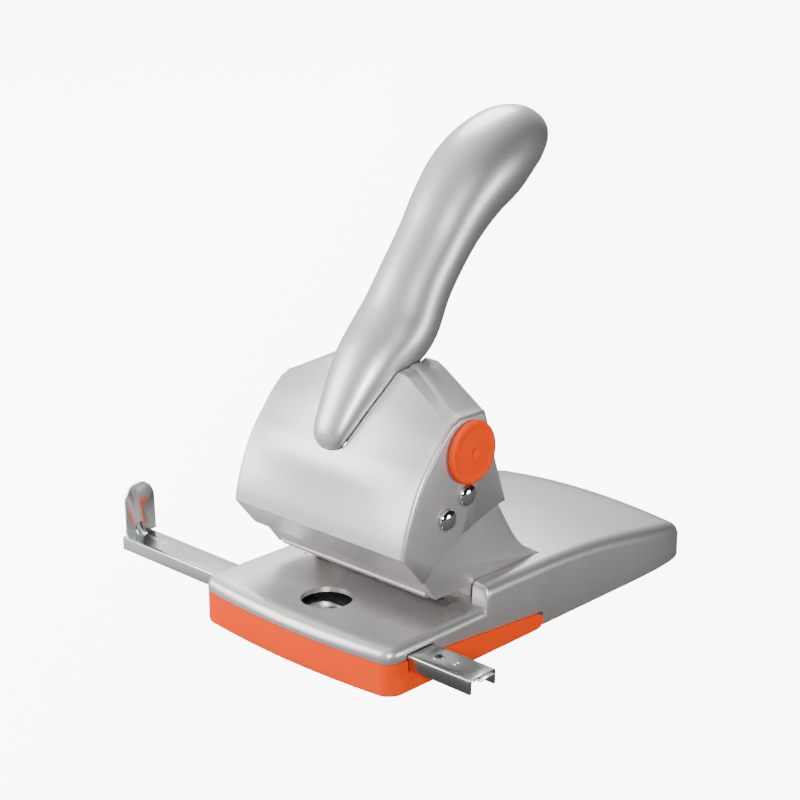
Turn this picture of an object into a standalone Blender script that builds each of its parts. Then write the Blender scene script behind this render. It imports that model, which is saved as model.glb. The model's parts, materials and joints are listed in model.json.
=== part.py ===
"""Heavy-duty two-hole desktop paper punch.

Metres, +Z up, +X to the operator's right, +Y to the back.  The origin is on the table, on the
plane of symmetry, below the front edge of the guide bar.
"""
import math

import bmesh
import bpy
from mathutils import Matrix, Vector

# ---- driving dimensions --------------------------------------------------------------------
GAP = 0.0003                 # clearance between touching pieces
WALL = 0.0026                # casting and shell wall

HOLE_SPACING = 0.080         # between the two punched holes
PAPER_EDGE_TO_HOLE = 0.012   # back stop to hole centres
PUNCH_Y = 0.051
PUNCH_RADIUS = 0.00275
DIE_FRONT_Y = 0.0440         # hardened plate in the deck
DIE_BACK_Y = 0.0585
PUNCH_TIP_Z = 0.0333

BASE_HALF = 0.067            # shell half width
DECK_Z = 0.0258              # paper deck
SEAM_Z = 0.0183              # front seam between shell and tray
SEAM_SLOPE = 0.083           # fall of the seam towards the back, from the bar on
STEP_Y = 0.058               # front of the rails and the raised rear deck
RAIL_INNER_Y = 0.064         # between the rails the deck stays low up to here
REAR_Y = 0.2325
REAR_EDGE_Z = 0.0025         # lower edge of the shell behind the tray
FRONT_Y = -0.0165

BAR_WIDTH = 0.0185
BAR_TOP = 0.0205
BAR_DEPTH = 0.0076
BAR_SHEET = 0.0012
BAR_LEFT = -0.1486           # half of a 297 mm sheet
BAR_RIGHT = 0.1068
TAB_HEIGHT = 0.0287

CHEEK_IN = 0.0500            # inner and outer faces of the frame's cheeks
CHEEK_OUT = 0.0564
THROAT_TOP = 0.0354
BACK_STOP_Y = PUNCH_Y + PAPER_EDGE_TO_HOLE
FOOT_Z = 0.0077
FRAME_BACK_Y = 0.1088

FOOT_SCREWS = ((-0.044, 0.0715), (0.044, 0.0715), (-0.044, 0.088), (0.044, 0.088))
SHANK_HOLE = 0.0020

PIVOT = (0.0350, 0.0776)     # lever axle, y and z
PIVOT_RADIUS = 0.0040
DRIVE_ARM = 0.01684          # axle to drive pin
DRIVE_REST = math.radians(31.9)
DRIVE_RADIUS = 0.0035
DRIVE = (PIVOT[0] + DRIVE_ARM * math.cos(DRIVE_REST), PIVOT[1] + DRIVE_ARM * math.sin(DRIVE_REST))
CAP_RADIUS = 0.0058

HEAD_HALF = 0.060
HEAD_TOP_SIDE = 0.127        # head height at its sides and next to the handle
HEAD_TOP_MID = 0.1435
SHOULDER_X = 0.025           # where the sloping top meets the handle
FRONT_BULGE = 0.008

KNOB_CENTRE = (0.0510, 0.1085)
KNOB_RADIUS = 0.0160

TRAY_HALF = 0.068
TRAY_HINGE = (0.0965, 0.0060)
TRAY_FLOOR = 0.0012
TRAY_WALL = 0.0020

# ---- collections and materials -------------------------------------------------------------
for old in list(bpy.data.objects):
    bpy.data.objects.remove(old, do_unlink=True)

PARTS = bpy.data.collections.new("two_hole_paper_punch")
CUTTERS = bpy.data.collections.new("cutters")
bpy.context.scene.collection.children.link(PARTS)
bpy.context.scene.collection.children.link(CUTTERS)


def material(name, color, roughness, metallic):
    """One Principled material."""
    mat = bpy.data.materials.new(name)
    mat.use_nodes = True
    shader = mat.node_tree.nodes["Principled BSDF"]
    shader.inputs["Base Color"].default_value = (*color, 1.0)
    shader.inputs["Roughness"].default_value = roughness
    shader.inputs["Metallic"].default_value = metallic
    return mat


SILVER = material("silver_paint", (0.62, 0.61, 0.60), 0.38, 0.75)
ORANGE = material("orange_plastic", (0.95, 0.16, 0.03), 0.42, 0.0)
CHROME = material("bright_chrome", (0.80, 0.80, 0.79), 0.08, 1.0)
STEEL = material("plain_steel", (0.46, 0.46, 0.47), 0.30, 1.0)
BLACK = material("black_plastic", (0.03, 0.03, 0.03), 0.50, 0.0)
RUBBER = material("dark_rubber", (0.04, 0.04, 0.04), 0.80, 0.0)
NYLON = material("pale_nylon", (0.75, 0.74, 0.70), 0.50, 0.0)
BRASS = material("bush_brass", (0.72, 0.52, 0.24), 0.30, 1.0)


# ---- building blocks -----------------------------------------------------------------------
def finish(name, bm, mat, smooth=True):
    """Makes an object of a bmesh, a part with a material or a hidden cutter without one."""
    bmesh.ops.recalc_face_normals(bm, faces=bm.faces[:])
    mesh = bpy.data.meshes.new(name)
    bm.to_mesh(mesh)
    bm.free()
    if smooth:
        mesh.shade_smooth()
        mesh.set_sharp_from_angle(angle=math.radians(35))
    obj = bpy.data.objects.new(name, mesh)
    if mat is None:
        obj.hide_render = True
        obj.display_type = "WIRE"
        CUTTERS.objects.link(obj)
    else:
        mesh.materials.append(mat)
        PARTS.objects.link(obj)
    return obj


def box(name, low, high, mat=None, bevel=0.0):
    """A block between two corners, its edges rounded where bevel is given."""
    size = [b - a for a, b in zip(low, high)]
    centre = [(a + b) / 2 for a, b in zip(low, high)]
    bm = bmesh.new()
    bmesh.ops.create_cube(bm, size=1.0)
    bmesh.ops.scale(bm, vec=size, verts=bm.verts)
    if bevel:
        bmesh.ops.bevel(bm, geom=bm.edges[:], offset=bevel, segments=2, profile=0.5, affect="EDGES")
    bmesh.ops.translate(bm, vec=centre, verts=bm.verts)
    return finish(name, bm, mat, smooth=False)


def rod(name, centre, radius, length, axis="X", mat=None, tip=None, segments=32):
    """A cylinder about an axis, or a cone where tip gives the radius of its far end."""
    bm = bmesh.new()
    far = radius if tip is None else tip
    bmesh.ops.create_cone(bm, cap_ends=True, segments=segments, radius1=radius, radius2=far, depth=length)
    turn = {"X": Matrix.Rotation(math.radians(90), 4, "Y"), "Z": Matrix.Identity(4)}[axis]
    bmesh.ops.transform(bm, matrix=Matrix.Translation(centre) @ turn, verts=bm.verts)
    return finish(name, bm, mat)


def loft(name, rings, mat=None, zipped=False):
    """A closed skin through rings of equally many points.

    Its ends are one flat face each or, zipped, strips from a ring's first half to its second.
    """
    bm = bmesh.new()
    rows = [[bm.verts.new(point) for point in ring] for ring in rings]
    count = len(rows[0])
    for near, far in zip(rows, rows[1:]):
        for i in range(count):
            j = (i + 1) % count
            bm.faces.new((near[i], near[j], far[j], far[i]))
    for row in (rows[0], rows[-1]):
        if zipped:
            for i in range(count // 2 - 1):
                bm.faces.new((row[i], row[i + 1], row[count - 2 - i], row[count - 1 - i]))
        else:
            bm.faces.new(row)
    bmesh.ops.triangulate(bm, faces=bm.faces[:])
    return finish(name, bm, mat)


def outline_solid(name, outline, low, high, mat=None, plane="YZ"):
    """A flat outline given thickness: a YZ outline along X, or an XY outline along Z."""
    curve = bpy.data.curves.new(name, "CURVE")
    curve.dimensions = "2D"
    curve.fill_mode = "BOTH"
    curve.extrude = (high - low) / 2
    spline = curve.splines.new("POLY")
    spline.points.add(len(outline) - 1)
    for point, (u, v) in zip(spline.points, outline):
        point.co = (u, v, 0.0, 1.0)
    spline.use_cyclic_u = True
    temporary = bpy.data.objects.new(name + "_outline", curve)
    bpy.context.scene.collection.objects.link(temporary)
    middle = (low + high) / 2
    if plane == "YZ":
        place = Matrix(((0, 0, 1, middle), (1, 0, 0, 0), (0, 1, 0, 0), (0, 0, 0, 1)))
    else:
        place = Matrix.Translation((0, 0, middle))
    bpy.context.view_layer.update()
    evaluated = temporary.evaluated_get(bpy.context.evaluated_depsgraph_get())
    bm = bmesh.new()
    bm.from_mesh(evaluated.to_mesh())
    bmesh.ops.transform(bm, matrix=place, verts=bm.verts)
    bmesh.ops.remove_doubles(bm, verts=bm.verts, dist=0.000002)
    bmesh.ops.dissolve_limit(bm, angle_limit=0.001, verts=bm.verts[:], edges=bm.edges[:])
    bpy.data.objects.remove(temporary, do_unlink=True)
    return finish(name, bm, mat, smooth=False)


def arc(centre, radius, start, end, steps=8):
    """Points on an arc, with its angles in degrees."""
    points = []
    for i in range(steps + 1):
        angle = math.radians(start + (end - start) * i / steps)
        points.append((centre[0] + radius * math.cos(angle), centre[1] + radius * math.sin(angle)))
    return points


def boolean(obj, tool, operation="DIFFERENCE"):
    """Cuts or joins another solid with an EXACT boolean modifier."""
    modifier = obj.modifiers.new(tool.name, "BOOLEAN")
    modifier.operation = operation
    modifier.object = tool
    modifier.solver = "EXACT"
    return obj


def cut(obj, *tools):
    for tool in tools:
        boolean(obj, tool)
    return obj


def join(obj, *tools):
    for tool in tools:
        boolean(obj, tool, "UNION")
    return obj


# ---- base ----------------------------------------------------------------------------------
FRONT_BOW = 0.0040           # the front edge's middle stands this far ahead of its corners


def seam_z(y):
    """Height of the seam between shell and tray."""
    return SEAM_Z - SEAM_SLOPE * max(0.0, y)


def bow(x, y, half):
    """Forward bow of the front, gone by the bar."""
    fade = min(1.0, max(0.0, (0.004 - y) / 0.014))
    return FRONT_BOW * (x / half) ** 2 * fade


def cover_ring(y, half, top, low, corner, crown):
    """A cross-section of the shell: flat below, round shoulders and a slightly crowned top."""
    upper = [(-half, top - corner)]
    for i in range(1, 5):
        angle = math.radians(22.5 * i)
        upper.append((-half + corner * (1 - math.cos(angle)), top - corner + corner * math.sin(angle)))
    flat = half - corner
    upper += [(x, top + crown * (1 - (x / flat) ** 2)) for x in (-0.7 * flat, -0.35 * flat)]
    upper += [(0.0, top + crown)] + [(-x, z) for x, z in reversed(upper)]
    lower = [(x, low) for x, _ in upper]
    return [(x, y + bow(x, y, half), z) for x, z in lower + upper[::-1]]


def shell_stations():
    """Rows of y, half width, top height, shoulder radius and crown along the shell."""
    w = BASE_HALF
    front = [(-0.0165, 0.0605, 0.0206, 0.0020, 0), (-0.0157, 0.0632, 0.0226, 0.0030, 0),
             (-0.0140, 0.0652, 0.0243, 0.0038, 0), (-0.0110, 0.0665, 0.0254, 0.0042, 0),
             (-0.0060, w, DECK_Z, 0.0045, 0), (0.0040, w, DECK_Z, 0.0045, 0),
             (STEP_Y - 0.0006, w, DECK_Z, 0.0045, 0)]
    step = [(STEP_Y, w, 0.0345, 0.0055, 0.0003), (STEP_Y + 0.0010, w, 0.0368, 0.0055, 0.0010),
            (STEP_Y + 0.0030, w, 0.0374, 0.0060, 0.0014)]
    rear = [(0.1000, w, 0.0372, 0.0060, 0.0020), (0.1120, w, 0.0370, 0.0060, 0.0026),
            (0.1280, w, 0.0364, 0.0062, 0.0032), (0.1450, w, 0.0352, 0.0064, 0.0038),
            (0.1620, w, 0.0334, 0.0066, 0.0042), (0.1800, w, 0.0308, 0.0068, 0.0044),
            (0.1980, 0.0665, 0.0280, 0.0068, 0.0044), (0.2100, 0.0655, 0.0258, 0.0066, 0.0042),
            (0.2190, 0.0640, 0.0234, 0.0062, 0.0038), (0.2255, 0.0615, 0.0204, 0.0056, 0.0030),
            (0.2300, 0.0580, 0.0160, 0.0044, 0.0018), (REAR_Y, 0.0540, 0.0110, 0.0030, 0.0006)]
    return front + step + rear


def shell_blank():
    """The shell's outer form, solid: its lower edge follows the tray, then drops behind it."""
    tray_end = TRAY_HINGE[0] + 0.0047
    rings = []
    for y, half, top, corner, crown in shell_stations():
        low = seam_z(min(y, TRAY_HINGE[0])) if y < tray_end else REAR_EDGE_Z
        if rings and y > tray_end > rings[-1][0][1]:
            for edge_y, edge_low in ((tray_end, seam_z(TRAY_HINGE[0])), (tray_end + 0.0002, REAR_EDGE_Z)):
                rings.append(cover_ring(edge_y, half, 0.0372, edge_low, 0.0060, 0.0020))
        rings.append(cover_ring(y, half, top, low, corner, crown))
    return loft("base_shell", rings, SILVER, zipped=True)


def shell_hollow():
    """What is taken out below the shell, a wall thickness inside its outer form."""
    low = -0.010
    rings = []
    for y, half, top, corner, crown in shell_stations():
        middle = 0.5 * (FRONT_Y + REAR_Y)
        inset = WALL + 0.0002
        if y < STEP_Y - 0.001:
            moved = max(y + inset, FRONT_Y + inset)
        elif y < STEP_Y + 0.004:
            moved = y + inset + RAIL_INNER_Y - STEP_Y
        else:
            moved = min(y, REAR_Y - inset)
        if moved < middle and rings and moved <= rings[-1][0][1] + 0.0001:
            continue
        radius = max(0.0008, corner - WALL)
        rings.append(cover_ring(moved, half - WALL - 0.0002, top - WALL, low, radius, crown))
        if moved >= REAR_Y - inset:
            break
    return loft("shell_hollow_cut", rings, zipped=True)


def base_shell():
    """Painted cover: paper deck, raised rear deck, slots for the bar and the format window."""
    shell = shell_blank()
    bar_low = BAR_TOP - BAR_DEPTH
    slot = box("bar_slot_cut", (-0.08, -0.0006, bar_low - 0.0006),
               (0.08, BAR_WIDTH + 0.0006, BAR_TOP + 0.0006))
    window = rod("window_cut", (0, 0.012, DECK_Z), 0.0133, 0.010, "Z", segments=48)
    inner = CHEEK_OUT + 0.0006
    low_deck = box("low_deck_cut", (-inner, STEP_Y - 0.003, DECK_Z - 0.0001), (inner, RAIL_INNER_Y, 0.060))
    foot_well = box("foot_well_cut", (-inner, RAIL_INNER_Y - 0.0006, 0.001), (inner, 0.1094, 0.061))
    stop_well = box("stop_well_cut", (-0.0513, BACK_STOP_Y - GAP, 0.002), (0.0513, 0.0700, 0.059))
    die_well = box("die_well_cut", (-0.0503, DIE_FRONT_Y - GAP, 0.020), (0.0503, DIE_BACK_Y + GAP, 0.030))
    return cut(shell, shell_hollow(), slot, window, low_deck, foot_well, stop_well, die_well)


def die_plate():
    """Hardened plate in the deck, with a hole below each punch."""
    plate = box("die_plate", (-0.050, DIE_FRONT_Y, DECK_Z - 0.0032),
                (0.050, DIE_BACK_Y, DECK_Z - 0.0003), STEEL)
    for side in (-1, 1):
        centre = (side * HOLE_SPACING / 2, PUNCH_Y, DECK_Z)
        boolean(plate, rod("die_hole_cut_%d" % (side + 2), centre, 0.0030, 0.02, "Z"))
    return plate


def bottom_plate():
    """Sheet closing the rear of the base and carrying the frame's foot."""
    side = BASE_HALF - WALL - 0.0012
    narrow = 0.0560
    half_outline = [(narrow, 0.0655), (narrow, 0.1022), (side, 0.1030), (side, 0.1990),
                    (side - 0.0018, 0.2120), (side - 0.0060, 0.2230), (side - 0.0140, 0.2290)]
    outline = half_outline + [(-x, y) for x, y in reversed(half_outline)]
    plate = outline_solid("bottom_plate", outline, 0.0050, 0.0074, BLACK, plane="XY")
    for i, (x, y) in enumerate(FOOT_SCREWS):
        boolean(plate, rod("plate_hole_cut_%d" % i, (x, y, 0.006), SHANK_HOLE, 0.012, "Z", segments=16))
    return plate


def feet():
    """Two round rubber feet under the back."""
    for side, word in ((-1, "left"), (1, "right")):
        rod("rear_foot_" + word, (side * 0.050, 0.208, 0.00235), 0.0062, 0.0047, "Z", RUBBER, tip=0.0070)


def plate_screws():
    """Screws from below, through the plate into the frame's foot."""
    words = ("front_left", "front_right", "rear_left", "rear_right")
    for word, (x, y) in zip(words, FOOT_SCREWS):
        name = "foot_screw_" + word
        screw = rod(name, (x, y, 0.0040), 0.0035, 0.0014, "Z", STEEL, tip=0.0040, segments=24)
        join(screw, rod(name + "_shank", (x, y, 0.0080), 0.0017, 0.0090, "Z", segments=16))


def frame_casting():
    """The cast frame: two cheeks, throat roof with guide towers, back stop, flared back and foot."""
    py, pz = PIVOT
    cheek = [(0.0316, THROAT_TOP), (RAIL_INNER_Y, THROAT_TOP), (RAIL_INNER_Y, FOOT_Z),
             (FRAME_BACK_Y, FOOT_Z), (FRAME_BACK_Y, 0.0376), (0.1047, 0.0393), (0.0982, 0.0440),
             (0.0925, 0.0496), (0.0884, 0.0551), (0.0844, 0.0612), (0.0804, 0.0677), (0.0772, 0.0729),
             (0.0720, 0.0815), (0.0660, 0.0875)]
    cheek += arc((py, pz), 0.0262, 28, 44, 3)
    cheek += arc((py, pz), 0.0225, 58, 196, 14)
    cheek += [(0.0165, 0.0600), (0.0205, 0.0530), (0.0224, 0.0474)]
    frame = outline_solid("frame_casting", cheek, CHEEK_IN, CHEEK_OUT, SILVER)
    left = outline_solid("cheek_left_join", cheek, -CHEEK_OUT, -CHEEK_IN)
    web = CHEEK_IN + 0.0010
    brow = [(0.0224, 0.0474), (0.0300, 0.0375), (0.0320, 0.0395), (0.0252, 0.0492)]
    roof_back = BACK_STOP_Y - 0.0020
    stop_back = BACK_STOP_Y + 0.0032
    roof = [(0.0292, 0.0372), (0.0304, THROAT_TOP), (roof_back, THROAT_TOP), (roof_back, 0.0390),
            (0.0296, 0.0390)]
    stop = [(BACK_STOP_Y, FOOT_Z), (stop_back, FOOT_Z), (stop_back, 0.0390), (roof_back - 0.0005, 0.0390),
            (roof_back - 0.0005, THROAT_TOP), (BACK_STOP_Y, THROAT_TOP)]
    floor_front = RAIL_INNER_Y + 0.0010
    floor = [(floor_front, FOOT_Z), (0.1060, FOOT_Z), (0.1060, 0.0112), (floor_front, 0.0112)]
    back = [(FRAME_BACK_Y, FOOT_Z), (FRAME_BACK_Y, 0.0376), (0.1047, 0.0393), (0.0982, 0.0440),
            (0.0925, 0.0496), (0.0884, 0.0551), (0.0844, 0.0612), (0.0804, 0.0677),
            (0.0782, 0.0664), (0.0860, 0.0535), (0.0905, 0.0474), (0.0965, 0.0415),
            (0.1030, 0.0370), (0.1056, 0.0355), (0.1056, FOOT_Z)]
    pieces = [left]
    for name, outline in (("brow", brow), ("roof", roof), ("stop", stop), ("floor", floor), ("back", back)):
        pieces.append(outline_solid("frame_%s_join" % name, outline, -web, web))
    for side in (-1, 1):
        centre = (side * HOLE_SPACING / 2, PUNCH_Y, 0.0405)
        pieces.append(rod("guide_tower_join_%d" % (side + 2), centre, 0.0072, 0.0070, "Z"))
    join(frame, *pieces)
    for side in (-1, 1):
        centre = (side * HOLE_SPACING / 2, PUNCH_Y, 0.040)
        boolean(frame, rod("bush_bore_cut_%d" % (side + 2), centre, 0.0050, 0.03, "Z"))
    axle_bore = rod("axle_bore_cut", (0, py, pz), PIVOT_RADIUS + GAP, 0.16)
    slot = arc(PIVOT, DRIVE_ARM + 0.0041, 46, -18, 10) + arc(PIVOT, DRIVE_ARM - 0.0041, -18, 46, 10)
    drive_slot = outline_solid("drive_slot_cut", slot, -0.08, 0.08)
    cut(frame, axle_bore, drive_slot)
    for i, (x, y) in enumerate(FOOT_SCREWS):
        boolean(frame, rod("foot_bore_cut_%d" % i, (x, y, 0.010), SHANK_HOLE, 0.012, "Z", segments=16))
    return frame


def guide_bushes():
    """A brass bush in each guide tower, around the punch."""
    for side, word in ((-1, "left"), (1, "right")):
        centre = (side * HOLE_SPACING / 2, PUNCH_Y, 0.0398)
        bush = rod("guide_bush_" + word, centre, 0.0047, 0.0084, "Z", BRASS)
        boolean(bush, rod("bush_hole_cut_" + word, centre, PUNCH_RADIUS + GAP, 0.03, "Z"))


def cap(name, y, z, side, mat):
    """A domed chrome end cap on the outside of the head."""
    inner = HEAD_HALF + GAP
    profile = [(0.0, 0.0030), (0.0022, 0.0029), (0.0040, 0.0024), (0.0052, 0.0016), (CAP_RADIUS, 0.0010),
               (CAP_RADIUS, 0.0)]
    rings = []
    count = 24
    for radius, height in profile[1:]:
        ring = []
        for i in range(count):
            angle = 2 * math.pi * i / count
            x = side * (inner + height)
            ring.append((x, y + radius * math.cos(angle), z + radius * math.sin(angle)))
        rings.append(ring)
    return loft(name, rings, mat)


def axle():
    """The lever's axle, fixed in the cheeks, and its caps."""
    y, z = PIVOT
    rod("pivot_axle", (0, y, z), PIVOT_RADIUS, 2 * HEAD_HALF, "X", STEEL)
    for side, word in ((-1, "left"), (1, "right")):
        cap("pivot_cap_" + word, y, z, side, CHROME)
        washer = rod("pivot_washer_" + word, (side * 0.0568, y, z), 0.0085, 0.0003, "X", NYLON)
        boolean(washer, rod("washer_hole_cut_" + word, (side * 0.0568, y, z), PIVOT_RADIUS + GAP, 0.01))


def bar_guides():
    """Two plastic saddles below the deck, in which the bar slides."""
    low = BAR_TOP - BAR_DEPTH
    for side, word in ((-1, "left"), (1, "right")):
        x0, x1 = sorted((side * 0.036, side * 0.052))
        saddle = box("bar_guide_" + word, (x0, -0.0032, low - 0.0030),
                     (x1, BAR_WIDTH + 0.0032, 0.0228), NYLON)
        channel = box("saddle_cut_" + word, (x0 - 0.01, -0.0005, low - 0.0005),
                      (x1 + 0.01, BAR_WIDTH + 0.0005, 0.03))
        boolean(saddle, channel)


# ---- lever ---------------------------------------------------------------------------------
# side view of the head: the curved front from its lip upward, y and z
HEAD_FRONT = [(0.0043, 0.0652), (0.0054, 0.0712), (0.0072, 0.0776), (0.0094, 0.0838), (0.0131, 0.0925),
              (0.0168, 0.0995), (0.0205, 0.1050), (0.0240, 0.1092), (0.0276, 0.1137), (0.0312, 0.1180),
              (0.0350, 0.1216), (0.0384, 0.1246)]
# lower edge of the head's sides, from the back corner to the lip
HEAD_LOWER = [(0.0780, 0.0752), (0.0741, 0.0748), (0.0666, 0.0730), (0.0592, 0.0706), (0.0518, 0.0680),
              (0.0446, 0.0654), (0.0374, 0.0622), (0.0302, 0.0576), (0.0232, 0.0520), (0.0190, 0.0486),
              (0.0172, 0.0496)]
HEAD_BACK = [(0.0648, 0.1210), (0.0672, 0.1118), (0.0704, 0.1016), (0.0736, 0.0919), (0.0761, 0.0843),
             (0.0787, 0.0775)]


def head_ring(x, inset=0.0):
    """The head's side view at one x, with its raised top and the bulge of its front."""
    rise = min(1.0, max(0.0, (0.0575 - abs(x)) / (0.0575 - SHOULDER_X)))
    across = 1 - min(1.0, abs(x) / 0.0575) ** 2
    ring = []
    for y, z in HEAD_FRONT:
        bulge = FRONT_BULGE * across * math.exp(-((z - 0.110) / 0.022) ** 2)
        lift = rise * (max(0.0, z - 0.105) / 0.0196) ** 2
        ring.append((y - bulge + inset * 0.80 + 0.0092 * lift, z - inset * 0.60 + 0.0165 * lift))
    top = HEAD_TOP_SIDE + (HEAD_TOP_MID - HEAD_TOP_SIDE) * rise - inset
    front_y = 0.0428 + 0.0092 * rise
    back_y = 0.0632 + 0.0043 * rise
    ring += [(front_y - 0.0010 + inset * 0.5, top - 0.0012), (front_y + 0.0012 + inset * 0.5, top),
             (back_y - 0.0012 - inset * 0.5, top), (back_y - inset * 0.8, top - 0.0012)]
    return [(x, y, z) for y, z in ring]


def head_blank():
    """The head's outer form, solid, with rounded side edges."""
    rings = []
    for x, inset in ((-0.0600, 0.0022), (-0.0594, 0.0010), (-0.0575, 0), (-0.0480, 0), (-0.0370, 0),
                     (-0.0250, 0), (-0.0120, 0), (0, 0), (0.0120, 0), (0.0250, 0), (0.0370, 0),
                     (0.0480, 0), (0.0575, 0), (0.0594, 0.0010), (0.0600, 0.0022)):
        ring = head_ring(x, inset)
        ring += [(x, y - inset * 0.8, z) for y, z in HEAD_BACK]
        ring += [(x, y, z + inset * 0.3) for y, z in HEAD_LOWER]
        rings.append(ring)
    return loft("lever_head", rings, SILVER)


def head_hollow():
    """The space inside the head, open below."""
    rings = []
    half = HEAD_HALF - WALL - 0.0002
    for x in (-half, -0.0480, -0.0370, -0.0250, -0.0120, 0, 0.0120, 0.0250, 0.0370, 0.0480, half):
        ring = [(px, y, z) for px, y, z in head_ring(x, WALL)]
        first = ring[0]
        ring += [(x, y - WALL, z) for y, z in HEAD_BACK]
        ring += [(x, 0.0770, 0.0600), (x, 0.0400, 0.0300), (x, 0.0230, 0.0300), (x, 0.0191, 0.0506)]
        ring[0] = (x, first[1] + 0.0002, first[2] + 0.0006)
        rings.append(ring)
    return loft("head_hollow_cut", rings)


HANDLE_AXIS = [  # y, z, half width, half depth of the handle's oval sections
    (0.0128, 0.1046, 0.0020, 0.0010), (0.0142, 0.1068, 0.0080, 0.0043), (0.0168, 0.1132, 0.0108, 0.0072),
    (0.0245, 0.1225, 0.0136, 0.0102), (0.0336, 0.1328, 0.0166, 0.0132), (0.0438, 0.1432, 0.0192, 0.0158),
    (0.0560, 0.1520, 0.0214, 0.0184), (0.0650, 0.1605, 0.0213, 0.0194), (0.0757, 0.1772, 0.0196, 0.0186),
    (0.0895, 0.1953, 0.0198, 0.0186), (0.1009, 0.2093, 0.0212, 0.0202), (0.1136, 0.2215, 0.0228, 0.0220),
    (0.1276, 0.2302, 0.0233, 0.0226), (0.1412, 0.2372, 0.0215, 0.0206), (0.1525, 0.2402, 0.0184, 0.0176),
    (0.1612, 0.2408, 0.0138, 0.0132), (0.1668, 0.2404, 0.0088, 0.0084), (0.1692, 0.2400, 0.0034, 0.0032)]


def handle_rings(grow=0.0):
    """Oval rings square to the handle's axis."""
    rings = []
    last = len(HANDLE_AXIS) - 1
    for i, (y, z, half, depth) in enumerate(HANDLE_AXIS):
        y0, z0 = HANDLE_AXIS[max(i - 1, 0)][:2]
        y1, z1 = HANDLE_AXIS[min(i + 1, last)][:2]
        along = Vector((0, y1 - y0, z1 - z0)).normalized()
        across = along.cross(Vector((1, 0, 0)))
        ring = []
        for k in range(28):
            angle = 2 * math.pi * k / 28
            point = Vector((0, y, z)) + Vector((1, 0, 0)) * (half + grow) * math.cos(angle)
            ring.append(tuple(point + across * (depth + grow) * math.sin(angle)))
        rings.append(ring)
    return rings


def handle():
    """The cast grip, whose lower end lies in the head as a long tongue and stands on its web."""
    grip = loft("handle_grip", handle_rings(), SILVER)
    seat = box("handle_seat_cut", (-0.04, 0.0340, 0.0900), (0.04, 0.0700, 0.1180 + GAP))
    boolean(grip, seat)
    for side in (-1, 1):
        name = "handle_bore_cut_%d" % (side + 2)
        boolean(grip, rod(name, (side * 0.010, 0.047, 0.122), 0.0023, 0.016, "Z", segments=16))
    return grip


def lever_head():
    """The hood that carries the handle, with a web for it to stand on."""
    head = cut(head_blank(), head_hollow())
    web = box("head_web_join", (-0.0585, 0.0362, 0.1150), (0.0585, 0.0655, 0.1180))
    join(head, web)
    cutter = loft("handle_groove_cut", handle_rings(0.00035))
    lower = box("groove_keep_cut", (-0.05, 0.0340, 0.0900), (0.05, 0.0760, 0.1180))
    boolean(cutter, lower)
    boolean(head, cutter)
    for side in (-1, 1):
        x0, x1 = sorted((side * 0.0490, side * 0.0572))
        boolean(head, box("cheek_way_cut_%d" % (side + 2), (x0, 0.0560, 0.0500), (x1, 0.0900, 0.1060)))
        name = "handle_screw_hole_cut_%d" % (side + 2)
        boolean(head, rod(name, (side * 0.010, 0.047, 0.1165), 0.0023, 0.008, "Z", segments=16))
    axle_hole = rod("head_axle_cut", (0, *PIVOT), PIVOT_RADIUS + GAP, 0.16)
    drive_hole = rod("head_drive_cut", (0, *DRIVE), DRIVE_RADIUS + GAP, 0.16)
    knob_hole = rod("head_knob_cut", (0.060, *KNOB_CENTRE), 0.0050 + GAP, 0.02)
    return cut(head, axle_hole, drive_hole, knob_hole)


def handle_screws():
    """Two screws up through the web into the handle."""
    for side, word in ((-1, "left"), (1, "right")):
        name = "handle_screw_" + word
        screw = rod(name, (side * 0.010, 0.047, 0.11295), 0.0040, 0.0035, "Z", STEEL, segments=24)
        shank = rod(name + "_shank", (side * 0.010, 0.047, 0.1205), 0.0020, 0.0150, "Z", segments=16)
        join(screw, shank)


def drive_pin():
    """The pin that the head carries through the cheeks' slots, and its caps."""
    y, z = DRIVE
    rod("drive_pin", (0, y, z), DRIVE_RADIUS, 2 * HEAD_HALF, "X", STEEL)
    for side, word in ((-1, "left"), (1, "right")):
        cap("drive_cap_" + word, y, z, side, CHROME)


# ---- lock knob -----------------------------------------------------------------------------
def lock_knob():
    """Round button on the head's right side, turned to lock the lever down."""
    y, z = KNOB_CENTRE
    face = HEAD_HALF + 0.0004
    profile = [(KNOB_RADIUS, 0.0), (KNOB_RADIUS, 0.0018), (0.0154, 0.0027), (0.0142, 0.0031),
               (0.0120, 0.0033), (0.0060, 0.0034), (0.0030, 0.0034), (0.0018, 0.0030)]
    count = 40
    rings = []
    for radius, height in profile:
        ring = []
        for i in range(count):
            angle = 2 * math.pi * i / count
            ring.append((face + height, y + radius * math.cos(angle), z + radius * math.sin(angle)))
        rings.append(ring)
    loft("lock_knob", rings, ORANGE)
    rod("lock_shaft", (0.05485, y, z), 0.0050, 0.0105, "X", STEEL)
    lobe = arc((y, z), 0.0062, 60, 300, 16) + [(y + 0.0090, z - 0.0030), (y + 0.0090, z + 0.0030)]
    outline_solid("lock_cam", lobe, 0.0468, 0.0493, STEEL)


# ---- punches -------------------------------------------------------------------------------
YOKE_LOW = 0.0600


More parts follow.
